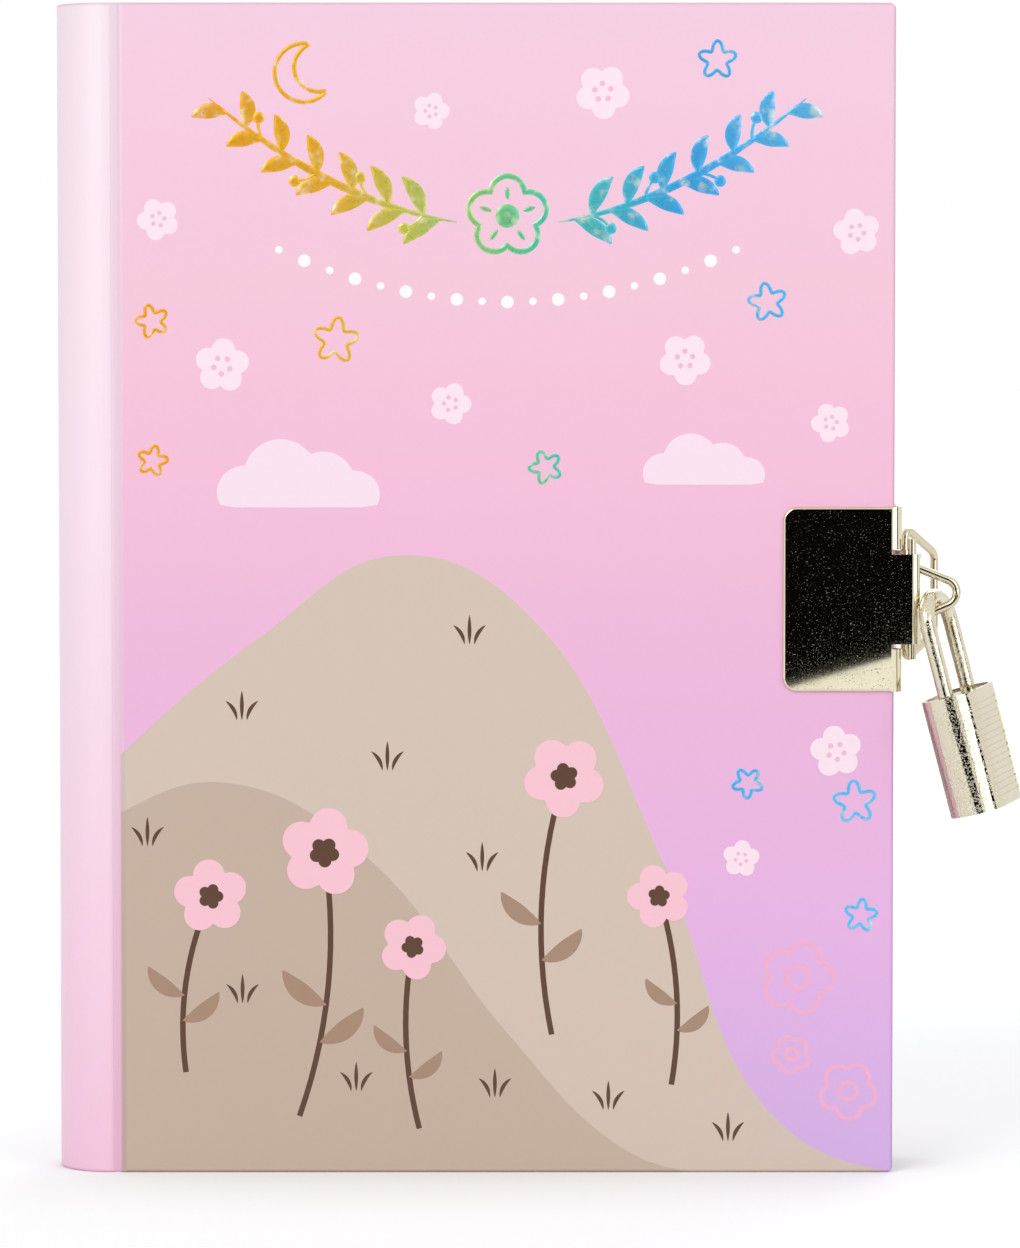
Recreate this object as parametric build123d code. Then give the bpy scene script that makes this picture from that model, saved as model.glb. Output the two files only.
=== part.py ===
"""A hard-cover diary with a rounded spine, a clasp plate on each cover and a padlock on the front loop.

Millimetres, +Z up. The diary stands on its foot with the front cover towards -Y and the spine at -X.
The origin is the middle of the back cover's foot edge.
"""
import math
import os

from build123d import *

# Case
case_height = 185.0
case_thickness = 18.0
cover_width = 122.2
corner_radius = 1.0
board_thickness = 2.4
paper_thickness = 0.35
edge_round = 0.45
turn_in = 15.0
pastedown_thickness = 0.2
pastedown_margin = 4.0
groove_width = 1.4
groove_depth = 0.8
hinge_gap = 0.05

# Spine and leaves
liner_thickness = 1.2
hollow_gap = 0.45
cloth_thickness = 0.4
cloth_inset = 12.0
glue_gap = 0.05
square = 3.5
leaf_gap = 0.05
cover_gap = 0.1
flyleaf_thickness = 0.25
first_leaves_thickness = 2.4
section_count = 5
leaf_root_offset = 0.5
band_height = 1.3
band_width = 1.3
band_lap = 0.9

# Clasp plates
plate_width = 17.6
plate_height = 29.2
plate_thickness = 0.6
plate_corner = 2.2
plate_rim = 0.45
plate_inner_leg = 3.0
bend_gap = 0.7
outer_bend = 1.15
inner_bend = 0.4
clasp_height = 91.1
tab_height = 14.2
tab_notch = 0.8
knuckle_reach = 2.85
knuckle_wall = 0.6
wire_radius = 0.68
wire_clearance = 0.15

# Front loop, a D of wire whose two ends run in the knuckle
loop_angle = 0.0
loop_root_height = 8.8
loop_tip_reach = 10.6
loop_tip_rise = 0.2
loop_root_bend = 1.0
loop_tip_bend = 2.2
loop_end_length = 2.4
loop_rise = 0.9
loop_swing = 35.0
window_room = 0.1

# Back loop, a closed ring of wire
ring_angle = 45.0
ring_depth = 7.2
ring_root_height = 21.6
ring_side_height = 12.8
ring_root_bend = 1.0
ring_side_bend = 2.0

# Padlock
hang_reach = 3.85
hang_gap = 0.35
hang_tilt = 14.5
hang_yaw = 64.0
shackle_radius = 1.25
shackle_spacing = 9.6
shackle_rise = 13.3
shackle_clearance = 0.08
long_leg = 10.5
notch_depth = 0.9
notch_height = 1.6
notch_drop = 1.0
notch_foot = 0.8
lock_width = 15.6
lock_thickness = 9.2
lock_height = 18.9
lock_corner = 4.5
lock_wall = 0.7
lock_fit = 0.03
end_plate_thickness = 1.6
end_plate_sink = 0.3
rib_count = 16
rib_pitch = 1.0
rib_gap = 0.45
rib_depth = 0.25
rib_width = 10.0
plug_radius = 2.3
plug_length = 7.0
plug_clearance = 0.06
key_slot_length = 3.2
key_slot_width = 0.9
key_slot_depth = 5.0
latch_post = 3.0
latch_width = 3.0
latch_clearance = 0.2
latch_seat = 0.05
spring_radius = 3.0
spring_thickness = 0.3
spring_width = 2.4
spring_rise = 1.5

# Places that follow from the sizes
cover_thickness = board_thickness + 2 * paper_thickness + pastedown_thickness
back_face = cover_thickness / 2
front_face = back_face - case_thickness
middle = (front_face + back_face) / 2
fore_edge = cover_width / 2
spine_side = -cover_width / 2
hinge_line = spine_side - groove_width
spine_radius = case_thickness / 2
liner_radius = spine_radius - paper_thickness
cloth_radius = liner_radius - liner_thickness - hollow_gap
back_radius = cloth_radius - cloth_thickness - glue_gap
leaf_foot = square
leaf_head = case_height - square
leaf_fore = fore_edge - square
flyleaf_front = front_face + cover_thickness + cover_gap
first_leaves_front = flyleaf_front + flyleaf_thickness + leaf_gap
sections_front = first_leaves_front + first_leaves_thickness + leaf_gap
back_flyleaf_back = back_face - cover_thickness
sections_back = back_flyleaf_back - flyleaf_thickness
knuckle_radius = wire_radius + wire_clearance + knuckle_wall
knuckle_x = fore_edge + knuckle_reach
front_knuckle_y = front_face - plate_thickness + knuckle_radius
bend_start = fore_edge + bend_gap - outer_bend
middle_plane = Plane(origin=(0, middle, 0), z_dir=(0, 1, 0))


def slab(x0, x1, y0, y1, z0, z1):
    """A box between two corners."""
    return Pos((x0 + x1) / 2, (y0 + y1) / 2, (z0 + z1) / 2) * Box(x1 - x0, y1 - y0, z1 - z0)


def flat(x0, x1, y0, y1):
    """A rectangle between two corners of the XY plane."""
    return Pos((x0 + x1) / 2, (y0 + y1) / 2) * Rectangle(x1 - x0, y1 - y0)


def upright(profile, z0, z1):
    """A profile of the XY plane raised from z0 to z1."""
    return Pos(0, 0, z0) * extrude(profile, amount=z1 - z0)


def on_back(piece):
    """The same piece on the back cover."""
    return mirror(piece, about=middle_plane)


def panel(x0, x1, y0, y1, z0, z1, radius):
    """A flat panel whose two corners at the fore edge are rounded."""
    body = slab(x0, x1, y0, y1, z0, z1)
    corners = body.edges().filter_by(Axis.Y).group_by(Axis.X)[-1]
    return fillet(corners, radius)


def board():
    """The front cover's greyboard, inside its cover paper."""
    return panel(
        spine_side + paper_thickness,
        fore_edge - paper_thickness,
        front_face + paper_thickness,
        front_face + paper_thickness + board_thickness,
        paper_thickness,
        case_height - paper_thickness,
        corner_radius - paper_thickness,
    )


def cover_paper():
    """The front cover's paper: outer face, turned-in edges and the strip that lies in the joint groove."""
    inner_face = front_face + 2 * paper_thickness + board_thickness
    skin = panel(spine_side, fore_edge, front_face, inner_face, 0, case_height, corner_radius)
    outer_edges = skin.faces().sort_by(Axis.Y)[0].edges()
    skin = fillet(outer_edges, edge_round)
    window = slab(
        spine_side,
        fore_edge - turn_in,
        inner_face - paper_thickness,
        inner_face,
        turn_in,
        case_height - turn_in,
    )
    groove_floor = front_face + groove_depth
    open_edge = slab(
        spine_side,
        spine_side + paper_thickness,
        groove_floor + paper_thickness,
        inner_face,
        0,
        case_height,
    )
    strip = slab(
        hinge_line + hinge_gap,
        spine_side + paper_thickness,
        groove_floor,
        groove_floor + paper_thickness,
        0,
        case_height,
    )
    return skin - board() - window - open_edge + strip


def pastedown():
    """The front endpaper's glued half: it fills the turn-ins' window and laps over their edges."""
    glued_face = front_face + paper_thickness + board_thickness
    filling = slab(
        spine_side + paper_thickness,
        fore_edge - turn_in,
        glued_face,
        glued_face + paper_thickness,
        turn_in,
        case_height - turn_in,
    )
    sheet = slab(
        spine_side + paper_thickness,
        fore_edge - pastedown_margin,
        glued_face + paper_thickness,
        glued_face + paper_thickness + pastedown_thickness,
        pastedown_margin,
        case_height - pastedown_margin,
    )
    return filling + sheet


def half_ring(inner, outer):
    """The spine's half-round section between two radii."""
    ring = Circle(outer) - Circle(inner)
    half = flat(-outer, 0, -outer, outer)
    return Pos(hinge_line, middle) * (ring & half)


def spine_liner():
    """The card that keeps the spine round."""
    section = half_ring(liner_radius - liner_thickness, liner_radius)
    return upright(section, paper_thickness, case_height - paper_thickness)


def spine_paper():
    """The printed paper round the spine, turned over the liner's head and foot."""
    skin = upright(half_ring(liner_radius, spine_radius), 0, case_height)
    lip = half_ring(liner_radius - liner_thickness, spine_radius)
    foot_lip = upright(lip, 0, paper_thickness)
    head_lip = upright(lip, case_height - paper_thickness, case_height)
    return skin + foot_lip + head_lip


def round_back(y0, y1, x1):
    """A layer of leaves from the rounded back to x1."""
    bulge = Pos(hinge_line, middle) * Circle(back_radius)
    bulge = bulge & flat(hinge_line - back_radius, hinge_line, y0, y1)
    return upright(bulge + flat(hinge_line, x1, y0, y1), leaf_foot, leaf_head)


def loose_leaves(y0, y1):
    """A leaf, or a bundle of leaves, that turns about the joint."""
    return slab(hinge_line + leaf_root_offset, leaf_fore, y0, y1, leaf_foot, leaf_head)


def back_arc(inner, outer):
    """A strip of the block's rounded back."""
    reach = sections_back - middle
    band = half_ring(inner, outer)
    return band & flat(hinge_line - outer, hinge_line, middle - reach, middle + reach)


def spine_cloth():
    """The cloth glued over the sections' folds."""
    section = back_arc(cloth_radius - cloth_thickness, cloth_radius)
    return upright(section, leaf_foot + cloth_inset, leaf_head - cloth_inset)


def end_band(z0, z1):
    """A woven band along the end of the block's back."""
    section = back_arc(back_radius - band_lap, back_radius - band_lap + band_width)
    return upright(section, z0, z1)


def wire_in_plane(points, radii):
    """A round wire along points (reach, height) of the XZ plane, bent to one radius at each corner."""
    path = FilletPolyline(*[(reach, 0, height) for reach, height in points], radius=radii)
    section = Plane(origin=path @ 0, z_dir=path % 0) * Circle(wire_radius)
    return sweep(section, path=path)


loop_top = clasp_height + loop_rise + loop_root_height / 2
loop_bottom = clasp_height + loop_rise - loop_root_height / 2
loop_tip = clasp_height + loop_rise + loop_tip_rise
lower_arm_slope = math.atan2(loop_tip - loop_bottom, loop_tip_reach)
tab_bottom = clasp_height - tab_height / 2
tab_top = clasp_height + tab_height / 2
front_loop_frame = Pos(knuckle_x, front_knuckle_y, 0) * Rot(0, 0, loop_angle)
back_loop_frame = Pos(knuckle_x, 2 * middle - front_knuckle_y, 0) * Rot(0, 0, ring_angle)


def front_loop():
    """The D: one end of the wire, its upper arm, its tip, its lower arm and the other end."""
    points = [
        (0, tab_top + loop_end_length),
        (0, loop_top),
        (loop_tip_reach, loop_tip),
        (0, loop_bottom),
        (0, tab_bottom - loop_end_length),
    ]
    return front_loop_frame * wire_in_plane(points, [loop_root_bend, loop_tip_bend, loop_root_bend])


def back_loop():
    """The ring: a bar in the knuckle, two sloping arms and an upright side."""
    points = [
        (0, 0),
        (0, ring_root_height / 2),
        (ring_depth, ring_side_height / 2),
        (ring_depth, 0),
    ]
    upper_half = wire_in_plane(points, [ring_root_bend, ring_side_bend])
    ring = upper_half + mirror(upper_half, about=Plane.XY)
    return back_loop_frame * Pos(0, 0, clasp_height) * ring


def rounded_end(x0, x1, y0, y1, front_bend, back_bend):
    """A rectangle whose two corners at x1 are rounded, each to its own radius."""
    shape = flat(x0, x1, y0, y1)
    front_corner = shape.vertices().group_by(Axis.X)[-1].sort_by(Axis.Y)[0]
    shape = fillet(front_corner, front_bend)
    back_corner = shape.vertices().group_by(Axis.X)[-1].sort_by(Axis.Y)[-1]
    return fillet(back_corner, back_bend)


def bent_sheet():
    """The flange's plan: the sheet's bend round the fore edge and a short leg on the cover's inner face."""
    outer = front_face - plate_thickness
    inner = front_face + cover_thickness
    leg_end = fore_edge - plate_inner_leg
    wall = fore_edge + bend_gap
    outside = rounded_end(
        leg_end,
        wall + plate_thickness,
        outer,
        inner + plate_thickness,
        outer_bend + plate_thickness,
        inner_bend + plate_thickness,
    )
    hollow = rounded_end(leg_end, wall, front_face, inner, outer_bend, inner_bend)
    return outside - hollow - flat(leg_end, bend_start, outer, front_face)


def window_plan():
    """The knuckle's window in plan: the room that the loop's arms sweep as they swing."""
    side = wire_radius + window_room
    reach = 3 * knuckle_radius
    rest = math.radians(loop_angle)
    last = math.radians(loop_angle + loop_swing)
    half_way = (rest + last) / 2
    near = (side * math.sin(rest), -side * math.cos(rest))
    far = (-side * math.sin(last), side * math.cos(last))
    points = [
        near,
        (near[0] + reach * math.cos(rest), near[1] + reach * math.sin(rest)),
        (2 * reach * math.cos(half_way), 2 * reach * math.sin(half_way)),
        (far[0] + reach * math.cos(last), far[1] + reach * math.sin(last)),
        far,
    ]
    return Pos(knuckle_x, front_knuckle_y) * Polygon(*points, align=None)


def clasp_plate(window):
    """A bent sheet: face, flanges round the fore edge and a tab rolled into the knuckle."""
    outer = front_face - plate_thickness
    bottom = clasp_height - plate_height / 2
    top = clasp_height + plate_height / 2
    face = slab(fore_edge - plate_width, bend_start, outer, front_face, bottom, top)
    face = fillet(face.edges().filter_by(Axis.Y).group_by(Axis.X)[0], plate_corner)
    rim = face.faces().sort_by(Axis.Y)[0].edges().sort_by(Axis.X)[:-1]
    face = fillet(rim, plate_rim)
    section = bent_sheet()
    sheet = face + upright(section, bottom, tab_bottom - tab_notch)
    sheet += upright(section, tab_top + tab_notch, top)
    sheet += slab(bend_start, knuckle_x, outer, front_face, tab_bottom, tab_top)
    tube = Cylinder(knuckle_radius, tab_height) - Cylinder(wire_radius + wire_clearance, tab_height)
    tube = Pos(knuckle_x, front_knuckle_y, clasp_height) * tube
    if window:
        bend_room = loop_root_bend + window_room
        tube -= upright(window_plan(), loop_bottom - bend_room, loop_top + bend_room)
    return sheet + tube


hang_point = (hang_reach, 0, loop_bottom + hang_reach * math.tan(lower_arm_slope))
padlock_frame = front_loop_frame * Pos(*hang_point) * Rot(0, -hang_tilt, 0) * Rot(0, 0, hang_yaw)
shackle_apex = wire_radius + hang_gap + shackle_radius
shackle_shoulder = shackle_apex - shackle_spacing / 2
lock_top = -shackle_rise
lock_bottom = lock_top - lock_height
inner_width = lock_width - 2 * lock_wall
inner_thickness = lock_thickness - 2 * lock_wall
inner_corner = lock_corner - lock_wall
notch_top = lock_top - end_plate_sink - end_plate_thickness - notch_drop
plug_bottom = lock_bottom + end_plate_sink
plug_top = plug_bottom + plug_length


def shackle():
    """The bow: a short leg, a half circle and a long leg, with a notch for the latch in the short leg."""
    half = shackle_spacing / 2
    short_end = notch_top - notch_height - notch_foot
    path = Line((-half, 0, short_end), (-half, 0, shackle_shoulder))
    path += ThreePointArc((-half, 0, shackle_shoulder), (0, 0, shackle_apex), (half, 0, shackle_shoulder))
    path += Line((half, 0, shackle_shoulder), (half, 0, lock_top - long_leg))
    bow = sweep(Pos(-half, 0, short_end) * Circle(shackle_radius), path=path)
    notch_face = -half + shackle_radius - notch_depth
    notch = slab(
        notch_face,
        -half + 2 * shackle_radius,
        -2 * shackle_radius,
        2 * shackle_radius,
        notch_top - notch_height,
        notch_top,
    )
    return padlock_frame * (bow - notch)


def lock_case():
    """The case: a rounded tube of sheet with grooves across both faces, which leave fine ribs."""
    outside = RectangleRounded(lock_width, lock_thickness, lock_corner)
    section = outside - RectangleRounded(inner_width, inner_thickness, inner_corner)
    case = upright(section, lock_bottom, lock_top)
    groove = outside - RectangleRounded(
        lock_width - 2 * rib_depth,
        lock_thickness - 2 * rib_depth,
        lock_corner - rib_depth,
    )
    groove = groove & Rectangle(rib_width, lock_thickness)
    lowest = (lock_top + lock_bottom) / 2 - rib_pitch * (rib_count - 1) / 2
    for row in range(rib_count):
        height = lowest + row * rib_pitch
        case -= upright(groove, height - rib_gap / 2, height + rib_gap / 2)
    return padlock_frame * case


def end_plate(z0, holes):
    """A plate that closes one end of the case, with round holes at (x, radius)."""
    width = inner_width - 2 * lock_fit
    depth = inner_thickness - 2 * lock_fit
    section = RectangleRounded(width, depth, inner_corner - lock_fit)
    for x, radius in holes:
        section -= Pos(x, 0) * Circle(radius)
    return padlock_frame * upright(section, z0, z0 + end_plate_thickness)


def top_plate():
    """The plate with the shackle's two holes."""
    hole = shackle_radius + shackle_clearance
    half = shackle_spacing / 2
    return end_plate(lock_top - end_plate_sink - end_plate_thickness, [(-half, hole), (half, hole)])


def bottom_plate():
    """The plate with the plug's hole."""
    return end_plate(plug_bottom, [(0, plug_radius + plug_clearance)])


def lock_plug():
    """The plug that the key turns, slotted from below."""
    plug = upright(Circle(plug_radius), plug_bottom, plug_top)
    plug -= upright(Rectangle(key_slot_length, key_slot_width), plug_bottom, plug_bottom + key_slot_depth)
    return padlock_frame * plug


def latch():
    """The latch: a post on the plug with a nose that points at the shackle's notch, drawn back."""
    nose_tip = -shackle_spacing / 2 + shackle_radius + latch_clearance
    nose_top = notch_top - latch_clearance
    post_foot = plug_top + latch_seat
    post = slab(-latch_post / 2, latch_post / 2, -latch_width / 2, latch_width / 2, post_foot, nose_top)
    nose_foot = nose_top - notch_height + 2 * latch_clearance
    nose = slab(nose_tip, -latch_post / 2, -latch_width / 2, latch_width / 2, nose_foot, nose_top)
    return padlock_frame * (post + nose)


def latch_spring():
    """The bowed leaf spring between the latch and the case's wall."""
    near = latch_width / 2 + latch_seat
    far = inner_thickness / 2 - latch_seat
    leaf = Circle(spring_radius) - Circle(spring_radius - spring_thickness)
    leaf = Pos(0, near + spring_radius) * leaf & flat(-spring_radius, spring_radius, near, far)
    foot = plug_top + spring_rise
    return padlock_frame * upright(leaf, foot, foot + spring_width)


section_thickness = (sections_back - sections_front) / section_count
pieces = {
    "front_board": board(),
    "front_cover_paper": cover_paper(),
    "front_pastedown": pastedown(),
    "back_board": on_back(board()),
    "back_cover_paper": on_back(cover_paper()),
    "back_pastedown": on_back(pastedown()),
    "spine_liner": spine_liner(),
    "spine_cover_paper": spine_paper(),
    "spine_cloth": spine_cloth(),
    "head_band": end_band(leaf_head, leaf_head + band_height),
    "tail_band": end_band(leaf_foot - band_height, leaf_foot),
    "flyleaf": loose_leaves(flyleaf_front, flyleaf_front + flyleaf_thickness),
    "first_leaves": loose_leaves(first_leaves_front, first_leaves_front + first_leaves_thickness),
    "bound_edge": round_back(flyleaf_front, sections_front, hinge_line + leaf_root_offset - leaf_gap),
    "back_flyleaf": loose_leaves(sections_back, back_flyleaf_back),
    "front_clasp_plate": clasp_plate(window=True),
    "back_clasp_plate": on_back(clasp_plate(window=False)),
    "front_loop": front_loop(),
    "back_loop": back_loop(),
    "padlock_shackle": shackle(),
    "padlock_case": lock_case(),
    "padlock_top_plate": top_plate(),
    "padlock_bottom_plate": bottom_plate(),
    "padlock_plug": lock_plug(),
    "padlock_latch": latch(),
    "padlock_latch_spring": latch_spring(),
}
for number in range(section_count):
    start = sections_front + number * section_thickness
    pieces[f"section_{number + 1}"] = round_back(start, start + section_thickness, leaf_fore)

os.makedirs("parts", exist_ok=True)
for name, piece in pieces.items():
    export_step(piece, f"parts/{name}.step")
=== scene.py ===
"""A hard-cover diary with a printed case, a nickel clasp and a padlock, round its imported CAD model."""
import math
import random

import bmesh
import bpy
from mathutils import Matrix, Vector


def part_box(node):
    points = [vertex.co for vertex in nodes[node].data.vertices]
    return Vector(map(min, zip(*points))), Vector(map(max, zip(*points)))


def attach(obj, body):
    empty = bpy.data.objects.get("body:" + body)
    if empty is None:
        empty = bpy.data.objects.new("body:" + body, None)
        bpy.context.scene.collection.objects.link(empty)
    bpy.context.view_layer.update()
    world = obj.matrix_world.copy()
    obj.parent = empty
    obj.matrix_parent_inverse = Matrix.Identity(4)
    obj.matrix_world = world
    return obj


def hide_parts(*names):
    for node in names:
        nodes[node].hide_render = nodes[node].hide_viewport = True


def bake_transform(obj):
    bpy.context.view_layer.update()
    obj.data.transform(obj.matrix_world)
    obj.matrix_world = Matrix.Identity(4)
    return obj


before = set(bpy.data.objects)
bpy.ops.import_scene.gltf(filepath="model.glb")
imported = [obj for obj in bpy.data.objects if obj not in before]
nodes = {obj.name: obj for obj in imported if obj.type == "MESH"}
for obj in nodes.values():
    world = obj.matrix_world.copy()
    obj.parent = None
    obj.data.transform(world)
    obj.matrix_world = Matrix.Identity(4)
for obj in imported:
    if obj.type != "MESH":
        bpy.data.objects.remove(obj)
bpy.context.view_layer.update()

# Studio: a white floor and backdrop, with a contact shadow painted on the floor at the diary's foot, a
# camera square on to the front cover and a little above it, three soft lamps, and black cards behind the
# camera, on the floor and at the right that only metal shows.
MM = 0.001
scene = bpy.context.scene
scene.view_settings.view_transform = "Standard"
cover_low, cover_high = (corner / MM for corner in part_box("front_cover_paper"))
front_face = cover_low.y
fore_edge = cover_high.x
case_height = cover_high.z

camera_distance = 900
camera_rise = math.radians(3.0)
view_height = 197.2
view_centre = Vector((0.4, front_face, 87.2))
lens_data = bpy.data.cameras.new("photo_camera")
lens_data.sensor_width = 24
lens_data.lens = lens_data.sensor_width * camera_distance / view_height
camera = bpy.data.objects.new("photo_camera", lens_data)
toward_camera = Vector((0, -math.cos(camera_rise), math.sin(camera_rise)))
camera.location = (view_centre + camera_distance * toward_camera) * MM
camera.rotation_euler = (math.pi / 2 - camera_rise, 0, 0)
scene.collection.objects.link(camera)
scene.camera = camera


def place(tree, kind, feeds=None, **settings):
    """Adds a shader node, with its settings and with each input set to a value or linked to an output."""
    made = tree.nodes.new(kind)
    for key, value in settings.items():
        setattr(made, key, value)
    for key, value in (feeds or {}).items():
        if isinstance(value, bpy.types.NodeSocket):
            tree.links.new(value, made.inputs[key])
        else:
            made.inputs[key].default_value = value
    return made


def math_node(tree, operation, *values):
    """One step of arithmetic between shader values."""
    return place(tree, "ShaderNodeMath", dict(enumerate(values)), operation=operation).outputs[0]


def seen_directly(tree):
    """One for the camera's rays and for what metal reflects, none for the rays that light the diary."""
    path = place(tree, "ShaderNodeLightPath").outputs
    mirrored = math_node(tree, "MAXIMUM", path["Is Glossy Ray"], path["Is Transmission Ray"])
    return math_node(tree, "MAXIMUM", path["Is Camera Ray"], mirrored)


def material_of(name, roughness, metallic=0.0):
    """A material with its Principled shader."""
    made = bpy.data.materials.new(name)
    made.use_nodes = True
    shader = made.node_tree.nodes["Principled BSDF"]
    shader.inputs["Roughness"].default_value = roughness
    shader.inputs["Metallic"].default_value = metallic
    return made, made.node_tree, shader.inputs


def panel_of(name, corners, material):
    """A flat four-sided stage panel from its corners in millimetres."""
    mesh = bpy.data.meshes.new(name)
    mesh.from_pydata([Vector(corner) * MM for corner in corners], [], [(0, 1, 2, 3)])
    mesh.materials.append(material)
    made = bpy.data.objects.new(name, mesh)
    scene.collection.objects.link(made)
    return made


ambient = 0.64
world = bpy.data.worlds.new("white_studio")
scene.world = world
world.use_nodes = True
backdrop = world.node_tree.nodes["Background"]
backdrop.inputs["Color"].default_value = (1, 1, 1, 1)
sky_level = math_node(world.node_tree, "MULTIPLY_ADD", seen_directly(world.node_tree), 1 - ambient, ambient)
world.node_tree.links.new(sky_level, backdrop.inputs["Strength"])

floor_white, floor_tree, floor_inputs = material_of("floor_white", 0.9)
floor_inputs["Base Color"].default_value = (0.8, 0.8, 0.8, 1)
floor_inputs["Specular IOR Level"].default_value = 0
floor_inputs["Emission Color"].default_value = (0.92, 0.98, 1, 1)
floor_at = place(floor_tree, "ShaderNodeTexCoord").outputs["Object"]
from_diary = place(floor_tree, "ShaderNodeVectorMath", {0: floor_at}, operation="LENGTH").outputs["Value"]
near_glow, far_glow = 0.295, 0.545
near_reach, far_reach = 100, 900
painted_shadow_reach = 45
open_glow = place(
    floor_tree,
    "ShaderNodeMapRange",
    {"Value": from_diary, "From Min": near_reach * MM, "From Max": far_reach * MM,
     "To Min": near_glow, "To Max": far_glow},
    interpolation_type="SMOOTHSTEP",
).outputs[0]
# Painted shadow: the floor's glow is dimmed by ambient occlusion close to the diary, a soft contact shadow
# at its foot.
painted_contact_shadow = place(
    floor_tree, "ShaderNodeAmbientOcclusion", {"Distance": painted_shadow_reach * MM}, samples=8
).outputs["AO"]
floor_glow = math_node(floor_tree, "MULTIPLY", seen_directly(floor_tree), open_glow)
floor_glow = math_node(floor_tree, "MULTIPLY", floor_glow, painted_contact_shadow)
floor_tree.links.new(floor_glow, floor_inputs["Emission Strength"])
floor_reach = 4000
panel_of(
    "floor",
    [(-floor_reach, -floor_reach, 0), (floor_reach, -floor_reach, 0), (floor_reach, floor_reach, 0),
     (-floor_reach, floor_reach, 0)],
    floor_white,
)

card_black, _, card_inputs = material_of("card_black", 1.0)
card_inputs["Base Color"].default_value = (0.004, 0.004, 0.004, 1)
card_inputs["Specular IOR Level"].default_value = 0
front_card_y = -1150
for card_name, corners in (
    ("front_card", [(-520, front_card_y, -179), (760, front_card_y, 201), (760, front_card_y, 700),
                    (-520, front_card_y, 700)]),
    ("low_card", [(-420, -1080, 1), (620, -1080, 1), (420, -330, 1), (-180, -330, 1)]),
    ("side_card", [(950, -560, 0), (1040, -350, 0), (1040, -350, 600), (950, -560, 600)]),
):
    card = panel_of(card_name, corners, card_black)
    card.visible_camera = False
    card.visible_diffuse = False
    card.visible_shadow = False

lamp_aim = Vector((0, 0, 95)) * MM
for lamp_name, watts, size, stand in (
    ("key_lamp", 5.2, 700, (-620, -900, 780)),
    ("fill_lamp", 2.9, 800, (760, -820, 420)),
    ("back_lamp", 2.6, 600, (260, 900, 760)),
):
    lamp_data = bpy.data.lights.new(lamp_name, "AREA")
    lamp_data.energy = watts
    lamp_data.size = size * MM
    lamp = bpy.data.objects.new(lamp_name, lamp_data)
    lamp.location = Vector(stand) * MM
    lamp.rotation_euler = (lamp_aim - lamp.location).to_track_quat("-Z", "Y").to_euler()
    scene.collection.objects.link(lamp)

# Boards: greyboard in each cover and card in the spine. Pressed waste paper, mid grey-brown, with flecks;
# only the raw edges beside the joint show, when the cover is open.


def ink(red, green, blue):
    """A colour from its 0 to 255 levels on a screen."""
    levels = [level / 255 for level in (red, green, blue)]
    return tuple(x / 12.92 if x <= 0.04045 else ((x + 0.055) / 1.055) ** 2.4 for x in levels) + (1.0,)


def effect(name, inputs, outputs):
    """An empty shader node group with its named inputs and outputs."""
    group = bpy.data.node_groups.new(name, "ShaderNodeTree")
    for label, kind, value in inputs:
        group.interface.new_socket(label, in_out="INPUT", socket_type=kind).default_value = value
    for label, kind in outputs:
        group.interface.new_socket(label, in_out="OUTPUT", socket_type=kind)
    return group, group.nodes.new("NodeGroupInput").outputs, group.nodes.new("NodeGroupOutput").inputs


def mixed(tree, share, first, second, blend="MIX"):
    """Two colours mixed by a share."""
    made = place(tree, "ShaderNodeMix", {0: share, 6: first, 7: second}, data_type="RGBA", blend_type=blend)
    return made.outputs[2]


def noise(tree, scale, detail=3.0, stretch=None):
    """Noise in the piece's own place, finer with a larger scale, drawn out along an axis by stretch."""
    at = place(tree, "ShaderNodeTexCoord").outputs["Object"]
    if stretch:
        at = place(tree, "ShaderNodeMapping", {"Vector": at, "Scale": stretch}).outputs[0]
    feeds = {"Vector": at, "Scale": scale, "Detail": detail}
    return place(tree, "ShaderNodeTexNoise", feeds).outputs["Fac"]


COLOUR, VALUE = "NodeSocketColor", "NodeSocketFloat"
paper_fibre, fibre_in, fibre_out = effect(
    "paper_fibre",
    [("Colour", COLOUR, (1, 1, 1, 1)), ("Mottle", VALUE, 0.05), ("Grain", VALUE, 900),
     ("Gloss", VALUE, 0.6)],
    [("Colour", COLOUR), ("Roughness", VALUE), ("Height", VALUE)],
)
fibre_dark = (0.1, 0.07, 0.08, 1)
cloudy = noise(paper_fibre, fibre_in["Grain"], 4)
tooth = noise(paper_fibre, math_node(paper_fibre, "MULTIPLY", fibre_in["Grain"], 5), 2)
shade = math_node(paper_fibre, "MULTIPLY", cloudy, fibre_in["Mottle"])
paper_fibre.links.new(mixed(paper_fibre, shade, fibre_in["Colour"], fibre_dark), fibre_out["Colour"])
tooth_gloss = math_node(paper_fibre, "MULTIPLY_ADD", math_node(paper_fibre, "SUBTRACT", tooth, 0.5), 0.25,
                        fibre_in["Gloss"])
paper_fibre.links.new(tooth_gloss, fibre_out["Roughness"])
paper_fibre.links.new(tooth, fibre_out["Height"])


def paper_finish(name, colour, mottle, grain, gloss, relief):
    """A paper material: one colour with fibre in its tone, gloss and surface. relief is in millimetres."""
    made, tree, inputs = material_of(name, gloss)
    tone = colour(tree) if callable(colour) else colour
    feeds = {"Colour": tone, "Mottle": mottle, "Grain": grain, "Gloss": gloss}
    fibre = place(tree, "ShaderNodeGroup", feeds, node_tree=paper_fibre).outputs
    tree.links.new(fibre["Colour"], inputs["Base Color"])
    tree.links.new(fibre["Roughness"], inputs["Roughness"])
    bump_feeds = {"Height": fibre["Height"], "Distance": relief * MM, "Strength": 0.6}
    bump = place(tree, "ShaderNodeBump", bump_feeds)
    tree.links.new(bump.outputs[0], inputs["Normal"])
    return made


def dress(material, *names):
    """Gives CAD nodes a material."""
    for name in names:
        nodes[name].data.materials.clear()
        nodes[name].data.materials.append(material)


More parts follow.
